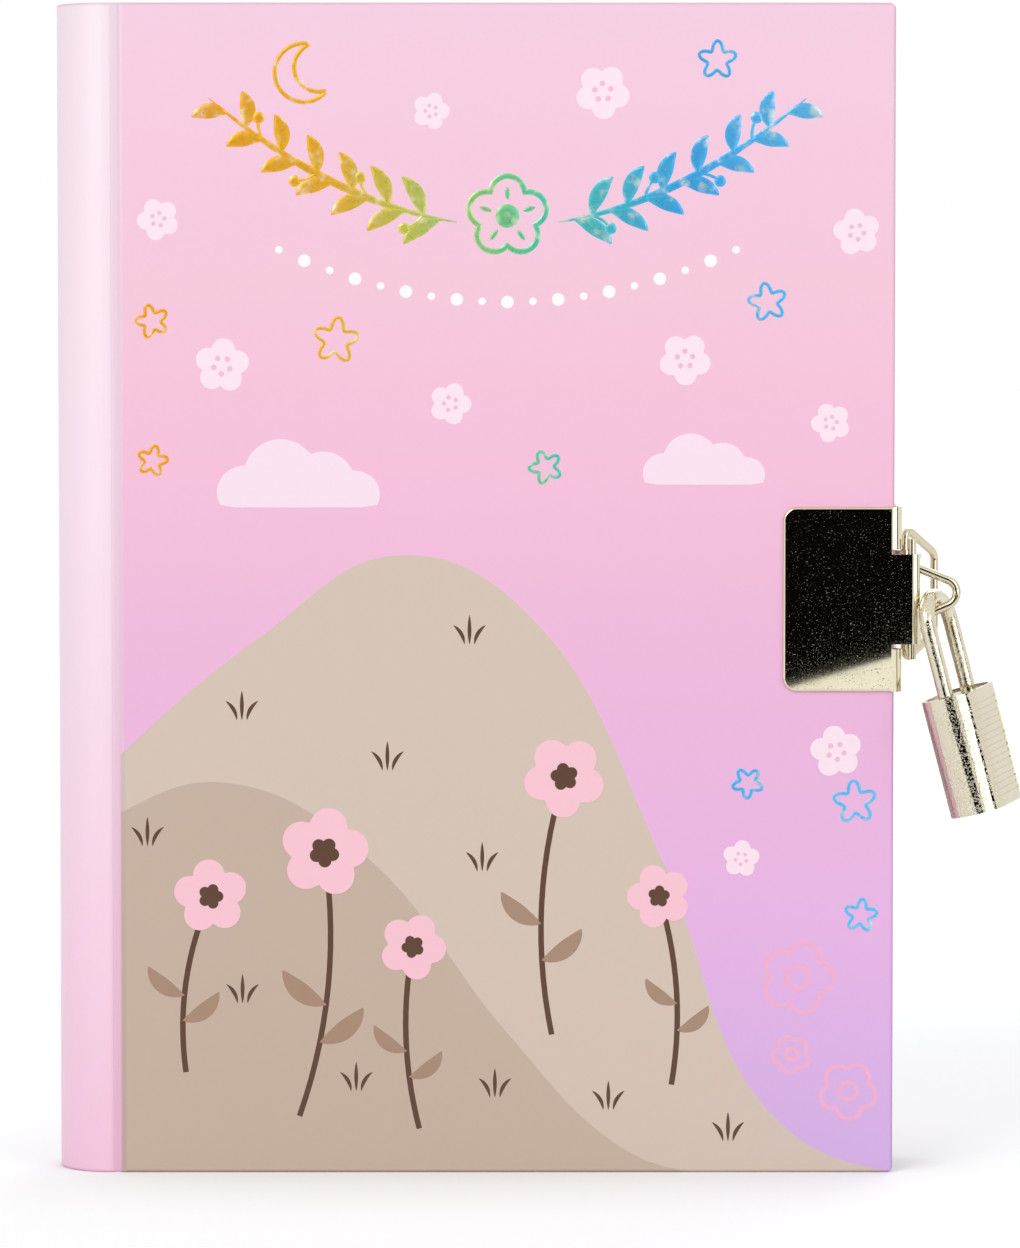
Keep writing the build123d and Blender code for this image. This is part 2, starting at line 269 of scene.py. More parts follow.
greyboard = paper_finish("greyboard", ink(158, 150, 140), 0.5, 700, 0.85, 0.05)
dress(greyboard, "front_board", "back_board", "spine_liner")

# Leaves: thin cream writing paper in sections with a rounded back, cut flush on three sides.
# Each section is a stack of separate leaves that don't line up quite, and the first ones have steps near the
# root where they could bend.
leaf_cream = ink(250, 246, 236)


def eased(tree, value, start, end):
    """Rises smoothly from 0 at start to 1 at end."""
    made = place(
        tree,
        "ShaderNodeMapRange",
        {"Value": value, "From Min": start, "From Max": end},
        interpolation_type="SMOOTHSTEP",
    )
    return made.outputs[0]


def cut_edge_tone(tree):
    """Cream with each leaf's cut edge a little lighter or darker than the next."""
    edge = noise(tree, 1.0, 4, stretch=(5, 2600, 5))
    return mixed(tree, eased(tree, edge, 0.3, 0.75), leaf_cream, ink(222, 208, 190))


leaf_paper = paper_finish("leaf_paper", leaf_cream, 0.05, 1500, 0.72, 0.012)
leaf_edges = paper_finish("leaf_edges", cut_edge_tone, 0.05, 1500, 0.72, 0.012)
spine_low, spine_high = (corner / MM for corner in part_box("spine_cover_paper"))
hinge_line = spine_high.x
spine_radius = (spine_high.y - spine_low.y) / 2
middle = (spine_high.y + spine_low.y) / 2
draw = random.Random(41)


def piece_of(name, shape, material, smooth=None):
    """An object from a shape in millimetres, with its material and slot, smooth up to an angle."""
    for vertex in shape.verts:
        vertex.co *= MM
    bmesh.ops.recalc_face_normals(shape, faces=shape.faces)
    mesh = bpy.data.meshes.new(name)
    shape.to_mesh(mesh)
    shape.free()
    mesh.materials.append(material)
    if smooth:
        mesh.shade_smooth()
        mesh.set_sharp_from_angle(angle=math.radians(smooth))
    made = bpy.data.objects.new(name, mesh)
    scene.collection.objects.link(made)
    return made


def tube_of(shape, rings, closed=False):
    """Joins rings of points, each with the same count, into a skin; open ends are capped."""
    loops = [[shape.verts.new(point) for point in ring] for ring in rings]
    count = len(loops[0])
    pairs = list(zip(loops, loops[1:])) + ([(loops[-1], loops[0])] if closed else [])
    for here, there in pairs:
        for side in range(count):
            after = (side + 1) % count
            shape.faces.new((here[side], here[after], there[after], there[side]))
    if not closed:
        shape.faces.new(loops[0])
        shape.faces.new(loops[-1])


def leaves(shape, low, high, count, steps):
    """A stack of leaves between two corners, each rooted in the round back, with steps where it can bend."""
    pitch = (high.y - low.y) / count
    for number in range(count):
        near = low.y + (number + 0.1) * pitch
        far = near + 0.8 * pitch
        fore = high.x - draw.uniform(0, 0.16)
        foot = low.z + draw.uniform(0, 0.1)
        head = high.z - draw.uniform(0, 0.1)
        root = max(low.x, round_back(near + 0.4 * pitch))
        rings = []
        for step in steps:
            x = root + (fore - root) * step
            rings.append([(x, near, foot), (x, far, foot), (x, far, head), (x, near, head)])
        tube_of(shape, rings)


def cut(stack):
    """Gives the cut edges of a stack of leaves their own tone."""
    stack.data.materials.append(leaf_edges)
    for face in stack.data.polygons:
        face.material_index = int(abs(face.normal.y) < 0.5)


section_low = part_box("section_3")[0] / MM
back_radius = hinge_line - section_low.x


def round_back(y):
    """Where the block's rounded back is at a depth in the block."""
    return hinge_line - math.sqrt(max(back_radius**2 - (y - middle) ** 2, 0))


leaves_per_section = 12
for number in range(1, 6):
    name = f"section_{number}"
    low, high = (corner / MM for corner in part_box(name))
    stack = bmesh.new()
    leaves(stack, low, high, leaves_per_section, (0, 1))
    section = piece_of(f"{name}_leaves", stack, leaf_paper)
    cut(section)
    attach(section, "back_case")
    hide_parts(name)

root_bend = 9.0
for name, count in (("first_leaves", 17), ("flyleaf", 1)):
    low, high = (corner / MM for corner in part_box(name))
    bend_steps = [1.5 * root_bend / (high.x - low.x) * step / 24 for step in range(25)] + [0.5, 1]
    stack = bmesh.new()
    leaves(stack, low, high, count, bend_steps)
    turning = piece_of(f"{name}_sheets", stack, leaf_paper, 30)
    cut(turning)
    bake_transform(turning)
    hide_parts(name)
dress(leaf_paper, "bound_edge", "back_flyleaf")

# Spine cloth and end bands: open-weave cotton glued over the folds, and a roll of two-colour thread
# wound over a core at the head and tail of the block's back.
mull, mull_tree, mull_inputs = material_of("spine_mull", 0.9)
at = place(mull_tree, "ShaderNodeTexCoord").outputs["Object"]
thread_feeds = {"Vector": at, "Scale": 260, "Distortion": 1.2}
threads = [
    place(mull_tree, "ShaderNodeTexWave", thread_feeds, bands_direction=way).outputs[1]
    for way in ("Y", "Z")
]
weave = math_node(mull_tree, "MAXIMUM", *threads)
mull_tone = mixed(mull_tree, weave, ink(196, 184, 164), ink(240, 234, 220))
mull_tree.links.new(mull_tone, mull_inputs["Base Color"])
weave_bump = place(mull_tree, "ShaderNodeBump", {"Height": weave, "Distance": 0.1 * MM})
mull_tree.links.new(weave_bump.outputs[0], mull_inputs["Normal"])
dress(mull, "spine_cloth")

thread_finish = [
    paper_finish("band_thread_pink", ink(238, 168, 200), 0.3, 4000, 0.7, 0.03),
    paper_finish("band_thread_white", ink(250, 240, 244), 0.2, 4000, 0.7, 0.03),
]
wrap_pitch = 0.42
for name in ("head_band", "tail_band"):
    low, high = (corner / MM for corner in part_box(name))
    core_radius = (high.z - low.z) / 2
    arc_radius = hinge_line - low.x - core_radius
    reach = math.asin(min((high.y - middle) / arc_radius, 1.0)) * 0.98
    wraps = int(2 * reach * arc_radius / wrap_pitch)
    for tint, finish in enumerate(thread_finish):
        winding = bmesh.new()
        for turn in range(tint, wraps, 2):
            rings = []
            for share in (-0.5, -0.3, 0.0, 0.3, 0.5):
                angle = -reach + 2 * reach * (turn + 0.5 + share * 0.98) / wraps
                swell = core_radius * (0.72 + 0.28 * math.cos(share * math.pi))
                ring = []
                for side in range(10):
                    spin = 2 * math.pi * side / 10
                    out = arc_radius + swell * math.cos(spin)
                    ring.append((hinge_line - out * math.cos(angle), middle + out * math.sin(angle),
                                 (low.z + high.z) / 2 + swell * math.sin(spin)))
                rings.append(ring)
            tube_of(winding, rings)
        band = piece_of(f"{name}_thread_{tint + 1}", winding, finish, 50)
        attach(band, "back_case")
        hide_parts(name)

# Endpapers: one sheet glued over the inside of each cover and over the edges that are turned in.
# They are pale pink, uncoated paper with a soft tooth.
endpaper = paper_finish("endpaper", ink(246, 214, 226), 0.08, 1200, 0.75, 0.015)
dress(endpaper, "front_pastedown", "back_pastedown")

# Case print: paper printed in one piece for covers and spine, laminated, glued over the boards, turned in.
# The ground runs from pink at the head to lilac at the foot. The spine is paler, partly its print and partly
# painted light, with faint painted shade bands down it.
# Two hills stand on the front, and shade is painted along the case's edges and in the joint's groove.


def colour_ramp(tree, share, stops):
    """Colours that follow one another along a share from 0 to 1."""
    made = place(tree, "ShaderNodeValToRGB", {"Fac": share})
    elements = made.color_ramp.elements
    elements[0].position, elements[0].color = stops[0]
    elements[1].position, elements[1].color = stops[-1]
    for position, colour in stops[1:-1]:
        elements.new(position).color = colour
    return made.outputs["Color"]


def place_axes(tree):
    """The shaded point's X, Y and Z in the piece's own place."""
    at = place(tree, "ShaderNodeTexCoord").outputs["Object"]
    return place(tree, "ShaderNodeSeparateXYZ", {0: at}).outputs


groove_width = 1.4
spine_side = hinge_line + groove_width
print_ground, _, ground_out = effect("print_ground", [], [("Colour", COLOUR), ("X", VALUE), ("Z", VALUE)])
at = place_axes(print_ground)
rise = math_node(print_ground, "DIVIDE", at["Z"], case_height * MM)
cover_ground = colour_ramp(
    print_ground,
    rise,
    [
        (0.0, ink(212, 177, 231)),
        (0.10, ink(221, 178, 231)),
        (0.23, ink(233, 181, 229)),
        (0.40, ink(237, 183, 221)),
        (0.60, ink(245, 191, 218)),
        (0.75, ink(245, 198, 219)),
        (1.0, ink(244, 203, 224)),
    ],
)
# The spine's ramp holds painted light: it is paler where the spine faces the lamp at the left, and lifted at
# the foot against the shade that falls there.
spine_ground_with_painted_light = colour_ramp(
    print_ground,
    rise,
    [
        (0.0, ink(255, 208, 232)),
        (0.3, ink(251, 219, 237)),
        (0.6, ink(250, 227, 240)),
        (1.0, ink(245, 227, 237)),
    ],
)
# Painted shade: faint darker bands down the spine, as light falls across its rounded face.
painted_shade_streaks = math_node(print_ground, "MULTIPLY", noise(print_ground, 1.0, 3, stretch=(900, 900, 7)), 0.09)
spine_ground_with_painted_light = mixed(print_ground, painted_shade_streaks, spine_ground_with_painted_light, ink(216, 176, 200))
past_joint = eased(print_ground, at["X"], (spine_side - 0.5) * MM, (spine_side + 0.9) * MM)
print_ground.links.new(mixed(print_ground, past_joint, spine_ground_with_painted_light, cover_ground), ground_out["Colour"])
print_ground.links.new(at["X"], ground_out["X"])
print_ground.links.new(at["Z"], ground_out["Z"])

# Painted shade: the print is darkened along the case's head, foot and fore edge and in the joint's groove,
# where the paper turns away from the light.
painted_edge_and_groove_shade, edge_shade_in, edge_shade_out = effect(
    "painted_edge_and_groove_shade", [("Colour", COLOUR, (1, 1, 1, 1))], [("Colour", COLOUR)]
)
painted_shade_dark = (0.80, 0.74, 0.79, 1)
at = place_axes(painted_edge_and_groove_shade)
to_head = math_node(painted_edge_and_groove_shade, "SUBTRACT", case_height * MM, at["Z"])
to_fore = math_node(painted_edge_and_groove_shade, "SUBTRACT", fore_edge * MM, at["X"])
to_edge = math_node(painted_edge_and_groove_shade, "MINIMUM", math_node(painted_edge_and_groove_shade, "MINIMUM", to_head, at["Z"]), to_fore)
edge_shade = math_node(painted_edge_and_groove_shade, "SUBTRACT", 1.0, eased(painted_edge_and_groove_shade, to_edge, 0.05 * MM, 0.6 * MM))
beside_groove = math_node(painted_edge_and_groove_shade, "SUBTRACT", at["X"], (spine_side - 0.5) * MM)
from_groove = math_node(painted_edge_and_groove_shade, "ABSOLUTE", beside_groove)
groove_shade = math_node(painted_edge_and_groove_shade, "SUBTRACT", 1.0, eased(painted_edge_and_groove_shade, from_groove, 0.2 * MM, 1.5 * MM))
painted_shade = math_node(painted_edge_and_groove_shade, "MAXIMUM", edge_shade, math_node(painted_edge_and_groove_shade, "MULTIPLY", groove_shade, 0.55))
painted_edge_and_groove_shade.links.new(
    mixed(painted_edge_and_groove_shade, painted_shade, edge_shade_in["Colour"], painted_shade_dark, "MULTIPLY"), edge_shade_out["Colour"]
)


def with_painted_shade(tree, colour):
    """A print colour with painted shade along the case's edges and in the joint's groove."""
    return place(tree, "ShaderNodeGroup", {"Colour": colour}, node_tree=painted_edge_and_groove_shade).outputs[0]


hills = (
    (
        ink(214, 196, 182),
        [(0, 0.36), (0.18, 0.46), (0.36, 0.53), (0.54, 0.47), (0.7, 0.27), (0.83, 0.06), (1, 0)],
    ),
    (
        ink(199, 178, 161),
        [(0, 0.31), (0.14, 0.335), (0.32, 0.27), (0.5, 0.12), (0.64, 0.025), (0.74, 0), (1, 0)],
    ),
)


def ground_tone(tree):
    """The case's ground colour, with painted shade along its edges and in the joint."""
    return with_painted_shade(tree, place(tree, "ShaderNodeGroup", node_tree=print_ground).outputs["Colour"])


def landscape_tone(tree):
    """The ground colour with rounded hills one in front of another, and painted shade along the edges and in
    the joint.
    """
    ground = place(tree, "ShaderNodeGroup", node_tree=print_ground).outputs
    tone = ground["Colour"]
    along = place(
        tree,
        "ShaderNodeMapRange",
        {"Value": ground["X"], "From Min": -fore_edge * MM, "From Max": fore_edge * MM},
    ).outputs[0]
    on_board = eased(tree, ground["X"], (spine_side - 0.3) * MM, (spine_side + 0.3) * MM)
    for colour, crest in hills:
        line = place(tree, "ShaderNodeFloatCurve", {"Value": along})
        curve = line.mapping.curves[0]
        curve.points[0].location, curve.points[1].location = crest[0], crest[-1]
        for point in crest[1:-1]:
            curve.points.new(*point)
        line.mapping.update()
        height = math_node(tree, "MULTIPLY", line.outputs[0], case_height * MM)
        under = math_node(tree, "SUBTRACT", height, ground["Z"])
        share = math_node(tree, "MULTIPLY", eased(tree, under, -0.05 * MM, 0.05 * MM), on_board)
        tone = mixed(tree, share, tone, colour)
    return with_painted_shade(tree, tone)


front_print = paper_finish("front_print", landscape_tone, 0.025, 1100, 0.42, 0.008)
case_print = paper_finish("case_print", ground_tone, 0.025, 1100, 0.42, 0.008)
dress(front_print, "front_cover_paper")
dress(case_print, "back_cover_paper")

# Print on the front: flat inks under the laminate. Pale blossoms and clouds stand over the ground, flowers
# with brown stems grow on the hills, line flowers stand beside them, white dots hang below the garland.
ink_rise = 0.03
ink_sink = 0.05
back_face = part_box("back_cover_paper")[1].y / MM


def flat_print(shape, outline, face=front_face, out=-1):
    """A printed patch on a cover: a thin closed prism from its (x, z) outline."""
    tube_of(shape, [[(x, face + out * lift, z) for x, z in outline] for lift in (ink_rise, -ink_sink)])


def lobed(x, z, size, lobes, base=None):
    """The outline round overlapping lobes (x, z, radius) in shares of a size, cut flat below at a base."""
    outline = []
    for step in range(80):
        angle = 2 * math.pi * step / 80
        reach = 0.0
        for lobe_x, lobe_z, radius in lobes:
            along = lobe_x * math.cos(angle) + lobe_z * math.sin(angle)
            aside = lobe_x * math.sin(angle) - lobe_z * math.cos(angle)
            if abs(aside) < radius:
                reach = max(reach, along + math.sqrt(radius**2 - aside**2))
        if base and math.sin(angle) < 0:
            reach = min(reach, base / -math.sin(angle))
        outline.append((x + size * reach * math.cos(angle), z + size * reach * math.sin(angle)))
    return outline


def petals(turn):
    """Five round petals about a centre."""
    angles = [turn + 2 * math.pi * number / 5 for number in range(5)]
    return [(0.56 * math.cos(angle), 0.56 * math.sin(angle), 0.42) for angle in angles]


def stroke(shape, line, widths, rise, closed=False):
    """A ribbon with a rounded top on the front cover, along (x, z) points, with a width at each."""
    section = [(-0.5, ink_sink), (-0.5, 0), (-0.32, -0.7 * rise), (0, -rise), (0.32, -0.7 * rise), (0.5, 0),
               (0.5, ink_sink)]
    rings = []
    for number, (x, z) in enumerate(line):
        before = line[number - 1] if closed or number else line[0]
        after = line[(number + 1) % len(line)] if closed or number + 1 < len(line) else line[-1]
        way = (Vector(after) - Vector(before)).normalized()
        ring = []
        for share, depth in section:
            side = share * widths[number]
            ring.append((x - way.y * side, front_face + depth, z + way.x * side))
        rings.append(ring)
    tube_of(shape, rings, closed)


def bow(start, end, bulge, steps=14):
    """Points from start to end on a line that bulges to its left by a distance."""
    start, end = Vector(start), Vector(end)
    aside = Vector((start.y - end.y, end.x - start.x)).normalized() * bulge
    shares = [step / steps for step in range(steps + 1)]
    return [start.lerp(end, share) + aside * 4 * share * (1 - share) for share in shares]


def tapered(width, line):
    """Widths along a line for a leaf or a brush mark that is pointed at both ends."""
    last = len(line) - 1
    return [width * (0.08 + 0.92 * math.sin(math.pi * number / last) ** 0.8) for number in range(last + 1)]


def printed(name, colour, shape, body="front_cover"):
    """A group of printed marks in one ink, carried by a cover."""
    finish = paper_finish(f"{name}_ink", colour, 0.03, 1100, 0.42, 0.006)
    marks = piece_of(name, shape, finish, 35)
    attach(marks, body)


blossoms = bmesh.new()
blossom_eyes = bmesh.new()
for turn, (x, z, radius) in enumerate((
    (-12, 168, 3.0), (15, 171, 4.4), (-55, 151, 3.4), (55, 149, 3.8), (-45, 128, 4.4), (-9, 122, 3.4),
    (28, 129, 4.2), (51, 119, 3.2), (52, 67, 4.2), (37, 50, 3.0),
)):
    flat_print(blossoms, lobed(x, z, radius, petals(turn)))
    for angle in range(5):
        spin = turn + math.pi / 5 + 2 * math.pi * angle / 5
        flat_print(blossom_eyes, lobed(x + 0.3 * radius * math.cos(spin), z + 0.3 * radius * math.sin(spin),
                                       0.1 * radius, [(0, 0, 1)]), front_face - ink_rise)
printed("print_blossoms", ink(252, 229, 241), blossoms)
printed("print_blossom_eyes", ink(243, 190, 214), blossom_eyes)

cloud_lobes = [(-0.62, 0.0, 0.3), (-0.2, 0.18, 0.42), (0.28, 0.1, 0.36), (0.66, -0.02, 0.26)]
clouds = bmesh.new()
for x, z, half_width in ((-33, 108, 14), (31, 111, 10.5)):
    flat_print(clouds, lobed(x, z, half_width, cloud_lobes, 0.17))
printed("print_clouds", ink(250, 226, 240), clouds)

dots = bmesh.new()
dot_pitch, dots_low, dots_rise, dots_half = 4.0, 138, 14, 47
for number in range(-9, 10):
    x = dot_pitch * number
    z = dots_low + dots_rise * (x / dots_half) ** 2
    flat_print(dots, lobed(x, z, 0.6 if number % 2 else 1.0, [(0, 0, 1)]))
printed("print_dots", ink(255, 250, 252), dots)

stem_brown = ink(92, 60, 40)
stems, stem_leaves, heads, flower_centres = (bmesh.new() for _ in range(4))
for turn, (foot, top, radius, lean) in enumerate((
    ((-51, 16), (-47, 44), 6.0, 2.0), ((-33, 9), (-29, 51), 7.2, -2.6), ((-14, 7), (-15, 36), 5.4, 1.6),
    ((7, 22), (9, 63), 6.6, 2.6), ((26, 14), (24, 44), 5.2, -1.8),
)):
    line = bow(foot, top, lean)
    stroke(stems, line, [0.9] * len(line), ink_rise)
    for share, side in ((4, 1), (6, -1)):
        root = line[share]
        leaf = bow(root, root + Vector((side * 0.95 * radius, 0.75 * radius)), side * -0.9)
        stroke(stem_leaves, leaf, tapered(0.42 * radius, leaf), 1.5 * ink_rise)
    flat_print(heads, lobed(*top, radius, petals(0.4 + turn)), front_face - ink_rise)
    flat_print(flower_centres, lobed(*top, 0.34 * radius, petals(turn)), front_face - 2 * ink_rise)
printed("print_stems", stem_brown, stems)
printed("print_stem_leaves", ink(168, 138, 116), stem_leaves)
printed("print_flowers", ink(250, 199, 212), heads)
printed("print_flower_centres", stem_brown, flower_centres)

tufts = bmesh.new()
for x, z in (
    (-57, 52), (-42, 27), (-24, 13), (-2, 12), (-19, 64), (-6, 84), (16, 10), (-4, 48), (35, 5), (-42, 72),
):
    for lean in (-1.6, 0, 1.6):
        blade = bow((x + 0.5 * lean, z), (x + 1.6 * lean, z + 4.6 - abs(lean)), 0.25 * lean)
        stroke(tufts, blade, tapered(0.62, blade), ink_rise)
printed("print_tufts", stem_brown, tufts)

line_flowers = bmesh.new()
for turn, (x, z, radius) in enumerate(((46, 31, 5.8), (54, 13, 4.6), (45, 18.8, 3.0))):
    for outline in (lobed(x, z, radius, petals(turn)), lobed(x, z, 0.3 * radius, [(0, 0, 1)])):
        stroke(line_flowers, outline, [0.65] * len(outline), ink_rise, closed=True)
printed("print_line_flowers", ink(243, 176, 208), line_flowers)

scattered = bmesh.new()
for row in range(6):
    for column in range(3):
        x = -46 + 40 * column + 14 * (row % 2) + draw.uniform(-4, 4)
        z = 18 + 30 * row + draw.uniform(-5, 5)
        flat_print(scattered, lobed(x, z, draw.uniform(2.6, 4.4), petals(row + column)), back_face, 1)
printed("back_print_blossoms", ink(252, 229, 241), scattered, "back_case")

# Foil on the front: hot-stamped metal film, gold at the left, then green, then blue, on lines that stand a
# little proud: a leafy garland with berries and a flower, a crescent and small stars.
foil_rise = 0.11
foil, foil_tree, foil_inputs = material_of("rainbow_foil", 0.3, 0.3)
foil_half = 50
foil_x = place_axes(foil_tree)["X"]
foil_span = {"Value": foil_x, "From Min": -foil_half * MM, "From Max": foil_half * MM}
foil_share = place(foil_tree, "ShaderNodeMapRange", foil_span).outputs[0]
foil_colour = colour_ramp(
    foil_tree,
    foil_share,
    [
        (0.0, ink(244, 170, 26)),
        (0.22, ink(242, 184, 50)),
        (0.36, ink(198, 206, 98)),
        (0.5, ink(118, 208, 148)),
        (0.62, ink(80, 200, 200)),
        (0.78, ink(66, 174, 238)),
        (1.0, ink(100, 196, 246)),
    ],
)
crinkle = noise(foil_tree, 1500, 3)
# Painted highlights: pale cream flecks mixed into the foil's colour as glints.
painted_glints = math_node(foil_tree, "MULTIPLY", eased(foil_tree, noise(foil_tree, 420, 3), 0.5, 0.72), 0.5)
foil_tree.links.new(mixed(foil_tree, painted_glints, foil_colour, ink(255, 246, 214)), foil_inputs["Base Color"])
foil_tree.links.new(math_node(foil_tree, "MULTIPLY_ADD", crinkle, 0.3, 0.16), foil_inputs["Roughness"])
foil_bump = place(foil_tree, "ShaderNodeBump", {"Height": crinkle, "Distance": 0.03 * MM})
foil_tree.links.new(foil_bump.outputs[0], foil_inputs["Normal"])


def dome(shape, x, z, radius, rise):
    """A small raised button on the front cover."""
    spins = [2 * math.pi * side / 16 for side in range(16)]
    rings = []
    for share, depth in ((1, ink_sink), (1, 0), (0.8, -0.6 * rise), (0.4, -0.95 * rise)):
        y = front_face + depth
        reach = share * radius
        rings.append([(x + reach * math.cos(spin), y, z + reach * math.sin(spin)) for spin in spins])
    tube_of(shape, rings)


garland_half, garland_low, garland_drop = 47, 150, 20


def hung(side, x):
    """A point of the garland's line at a distance to one side of the middle."""
    return Vector((side * x, garland_low + garland_drop * (x / garland_half) ** 2))


garland = bmesh.new()
for side in (-1, 1):
    line = [hung(side, x) for x in range(8, garland_half + 1)]
    stroke(garland, line, tapered(1.3, line), foil_rise)
    for number in range(13):
        x = 10.5 + 2.8 * number
        root = hung(side, x)
        slope = math.atan2(2 * garland_drop * x, garland_half**2)
        lift = slope + math.radians(48 if number % 2 else -44)
        length = 7.0 - 0.12 * number
        leaf = bow(root, root + length * Vector((side * math.cos(lift), math.sin(lift))), 0.7 * side)
        stroke(garland, leaf, tapered(2.5, leaf), 1.3 * foil_rise)
        if number % 3 == 1:
            across = 2 * slope - lift
            stalk = bow(root, root + 3.6 * Vector((side * math.cos(across), math.sin(across))), 0.3)
            stroke(garland, stalk, [0.5] * len(stalk), foil_rise)
            dome(garland, *stalk[-1], 0.95, 1.4 * foil_rise)
flower_at = Vector((0, 151.5))
flower = lobed(*flower_at, 6.4, petals(math.pi / 2))
stroke(garland, flower, [0.9] * len(flower), foil_rise, closed=True)
dome(garland, *flower_at, 1.9, 1.8 * foil_rise)
for spin in range(5):
    angle = math.pi / 2 + 2 * math.pi * spin / 5
    outward = Vector((math.cos(angle), math.sin(angle)))
    ray = bow(flower_at + 2.6 * outward, flower_at + 4.6 * outward, 0)
    stroke(garland, ray, tapered(0.8, ray), foil_rise)
foil_garland = piece_of("foil_garland", garland, foil, 60)
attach(foil_garland, "front_cover")

doodles = bmesh.new()
for x, z, radius, turn in (
    (-27, 132, 3.6, 0.2), (41, 138, 3.0, 0.5), (-56, 113, 2.4, 0.1), (55, 59, 3.4, 0.4), (38, 62, 2.4, 0.9),
    (-56, 135, 2.6, 0.6), (33, 176, 3.0, 0.3), (6, 112, 2.6, 0.7), (56, 41, 2.6, 0.2),
):
    star = []
    for step in range(60):
        angle = 2 * math.pi * step / 60
        reach = radius * (0.76 + 0.24 * math.cos(5 * (angle - turn)))
        star.append((x + reach * math.cos(angle), z + reach * math.sin(angle)))
    stroke(doodles, star, [0.55] * len(star), 0.8 * foil_rise, closed=True)
moon_centre = Vector((-32, 174))
moon_radius, bite_radius, bite_offset, moon_turn = 4.6, 3.8, 2.4, 0.35
tip_x = (bite_offset**2 + moon_radius**2 - bite_radius**2) / (2 * bite_offset)
tip_z = math.sqrt(moon_radius**2 - tip_x**2)
outer_tip = math.atan2(tip_z, tip_x)
inner_tip = math.atan2(tip_z, tip_x - bite_offset)
moon = []
for radius, centre_x, start, end in (
    (moon_radius, 0, outer_tip, 2 * math.pi - outer_tip),
    (bite_radius, bite_offset, 2 * math.pi - inner_tip, inner_tip),
):
    for step in range(1, 24):
        angle = start + (end - start) * step / 24
        spot = Vector((centre_x + radius * math.cos(angle), radius * math.sin(angle)))
        spot.rotate(Matrix.Rotation(moon_turn, 2))
        moon.append(moon_centre + spot)
stroke(doodles, moon, [0.7] * len(moon), foil_rise, closed=True)
foil_doodles = piece_of("foil_doodles", doodles, foil, 60)
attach(foil_doodles, "front_cover")

# Spine wrap and joint: the same paper goes on round the spine and dips into the groove beside each board.
# At the front it is a strip of its own between the spine and the cover.
paper = 0.35
joint_dip = [(-1.5, 0.13), (-1.0, 0.12), (-0.5, 0.17), (-0.15, 0.27), (0.1, 0.42), (0.35, 0.6), (0.62, 0.7),
             (0.9, 0.64), (1.12, 0.46), (1.3, 0.22), (1.48, 0.05), (1.7, -0.03), (1.95, -0.03), (2.2, 0.06)]
front_joint_line = [(hinge_line + x, front_face + dip) for x, dip in joint_dip]
back_joint_line = [(x, 2 * middle - y) for x, y in reversed(front_joint_line)]
seam_reach = 1.5
seam = math.asin(seam_reach / spine_radius)
arc_line = []
for step in range(1, 60):
    angle = seam + (math.pi - 2 * seam) * (1 - step / 60)
    arc_line.append((hinge_line - spine_radius * math.sin(angle), middle - spine_radius * math.cos(angle)))
spine_line = back_joint_line + arc_line + [front_joint_line[0]]


def wrapped_paper(shape, line, lips):
    """Paper along a line of the plan, from foot to head, with its ends turned in by a lip at each point."""
    rings = []
    for number, (x, y) in enumerate(line):
        before = Vector(line[max(number - 1, 0)])
        after = Vector(line[min(number + 1, len(line) - 1)])
        way = (after - before).normalized()
        inward = Vector((-way.y, way.x))
        lip = lips[number]
        section = [(0, 0.3), (0.09, 0.09), (0.3, 0), (lip, 0), (lip, paper), (paper, paper)]
        section += [(deep, case_height - z) for deep, z in reversed(section)]
        rings.append([(x + inward.x * deep, y + inward.y * deep, z) for deep, z in section])
    tube_of(shape, rings)


wrap = bmesh.new()
spine_lips = [0.5] * len(back_joint_line) + [1.5] * len(arc_line) + [0.5]
wrapped_paper(wrap, spine_line, spine_lips)
spine_wrap = piece_of("spine_wrap", wrap, case_print, 40)
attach(spine_wrap, "back_case")
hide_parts("spine_cover_paper")

strip = bmesh.new()
wrapped_paper(strip, front_joint_line, [0.5] * len(front_joint_line))
joint_strip = piece_of("front_joint_strip", strip, front_print, 40)
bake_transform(joint_strip)

# Clasp plates: nickel-plated sheet, bent round each cover's fore edge, with a rim and a rolled knuckle.
# The plating is a mirror with a fine grain of raised specks, faint scratches and a slight champagne tint.
plating_wear, wear_in, wear_out = effect(
    "plating_wear",
    [("Colour", COLOUR, (0.8, 0.8, 0.8, 1)), ("Gloss", VALUE, 0.03), ("Grain", VALUE, 4200),
     ("Sparse", VALUE, 0.62)],
    [("Colour", COLOUR), ("Roughness", VALUE), ("Height", VALUE)],
)
smudge = noise(plating_wear, 160, 4)
crowded = math_node(plating_wear, "ADD", wear_in["Sparse"], 0.12)
grain = eased(plating_wear, noise(plating_wear, wear_in["Grain"], 2), wear_in["Sparse"], crowded)
specks = math_node(plating_wear, "MULTIPLY", grain, noise(plating_wear, 240, 2))
scratch_lines = [noise(plating_wear, 1.0, 2, stretch=way) for way in ((260, 260, 9000), (7000, 7000, 320))]
scratches = math_node(plating_wear, "MULTIPLY", *scratch_lines)
tarnish = math_node(plating_wear, "MULTIPLY", smudge, 0.2)
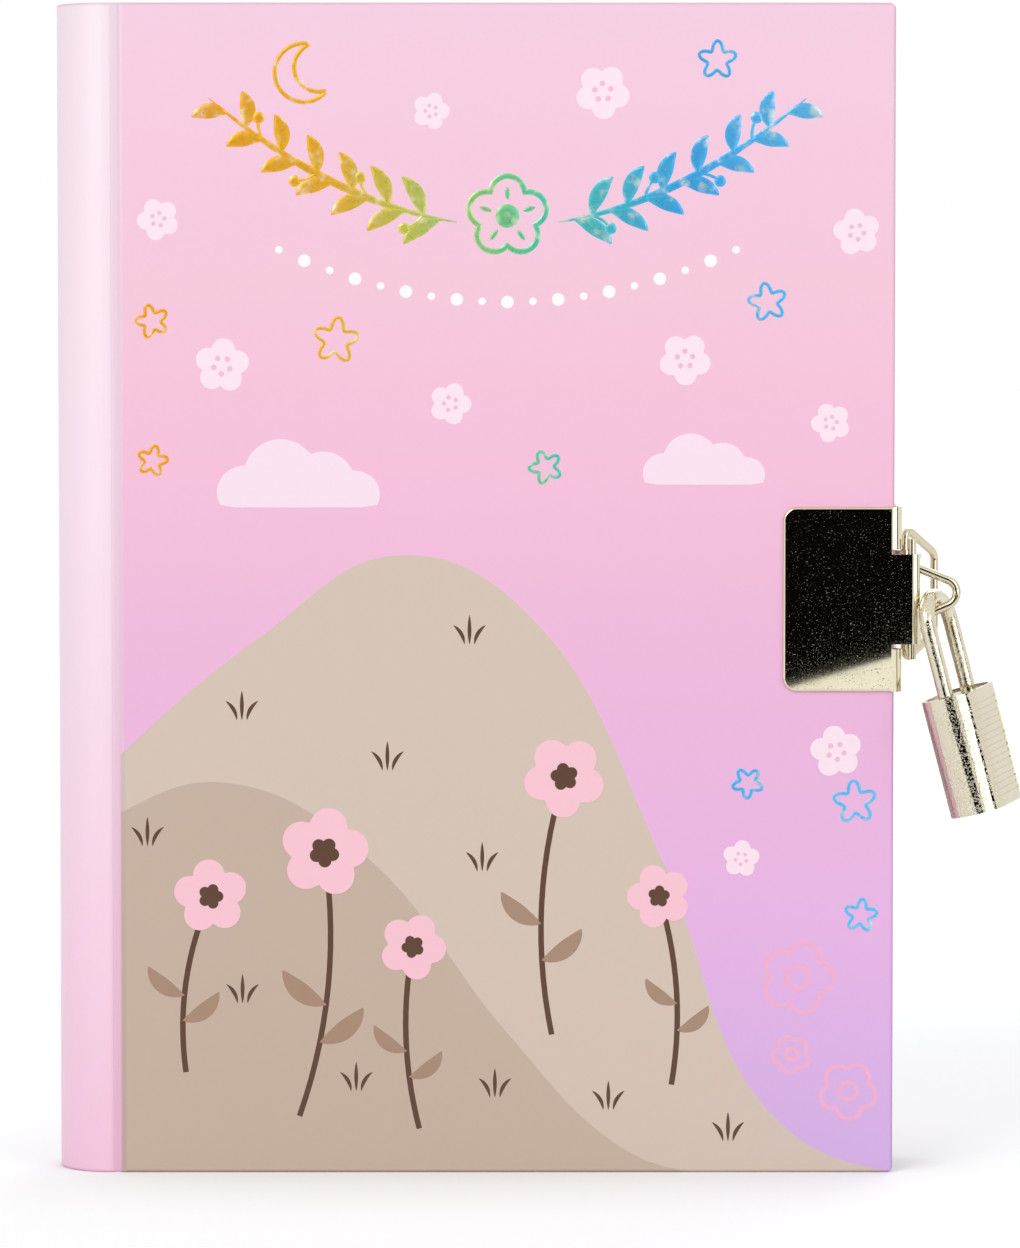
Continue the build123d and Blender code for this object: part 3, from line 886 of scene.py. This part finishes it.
plating_wear.links.new(
    mixed(plating_wear, tarnish, wear_in["Colour"], ink(150, 136, 106)), wear_out["Colour"]
)
dulled = math_node(plating_wear, "MULTIPLY_ADD", smudge, 0.02, wear_in["Gloss"])
scratched = math_node(plating_wear, "MULTIPLY_ADD", scratches, 0.03, dulled)
plating_wear.links.new(scratched, wear_out["Roughness"])
raised = math_node(plating_wear, "MULTIPLY_ADD", scratches, 0.0015, specks)
plating_wear.links.new(raised, wear_out["Height"])


def metal_finish(name, colour, gloss, grain_scale, sparse, relief):
    """A plated metal with its wear. A larger sparse gives fewer specks; relief is in millimetres."""
    made, tree, inputs = material_of(name, gloss, 1.0)
    feeds = {"Colour": colour, "Gloss": gloss, "Grain": grain_scale, "Sparse": sparse}
    wear = place(tree, "ShaderNodeGroup", feeds, node_tree=plating_wear).outputs
    tree.links.new(wear["Colour"], inputs["Base Color"])
    tree.links.new(wear["Roughness"], inputs["Roughness"])
    bump_feeds = {"Height": wear["Height"], "Distance": relief * MM, "Strength": 1.0}
    bump = place(tree, "ShaderNodeBump", bump_feeds)
    tree.links.new(bump.outputs[0], inputs["Normal"])
    return made


nickel_sheet = metal_finish("nickel_sheet", ink(228, 219, 192), 0.005, 3900, 0.65, 0.014)
dress(nickel_sheet, "front_clasp_plate", "back_clasp_plate")

# Wire loops: round nickel-plated wire, drawn smooth, bent to a D at the front and to a wide ring at the
# back. Their ends run in the plates' knuckles.
nickel_wire = metal_finish("nickel_wire", ink(216, 206, 180), 0.06, 2500, 0.6, 0.004)
dress(nickel_wire, "front_loop", "back_loop")

# Padlock: a folded nickel-plated case with ribbed faces and pressed-in end plates, a steel shackle, and
# a brass plug with its key slot; the latch and its spring are inside.
lock_nickel = metal_finish("lock_nickel", ink(223, 215, 193), 0.03, 2700, 0.5, 0.035)
lock_brass = metal_finish("lock_brass", ink(206, 172, 104), 0.2, 3000, 0.55, 0.008)
dress(lock_nickel, "padlock_shackle", "padlock_case", "padlock_top_plate", "padlock_bottom_plate")
dress(lock_brass, "padlock_plug", "padlock_latch", "padlock_latch_spring")
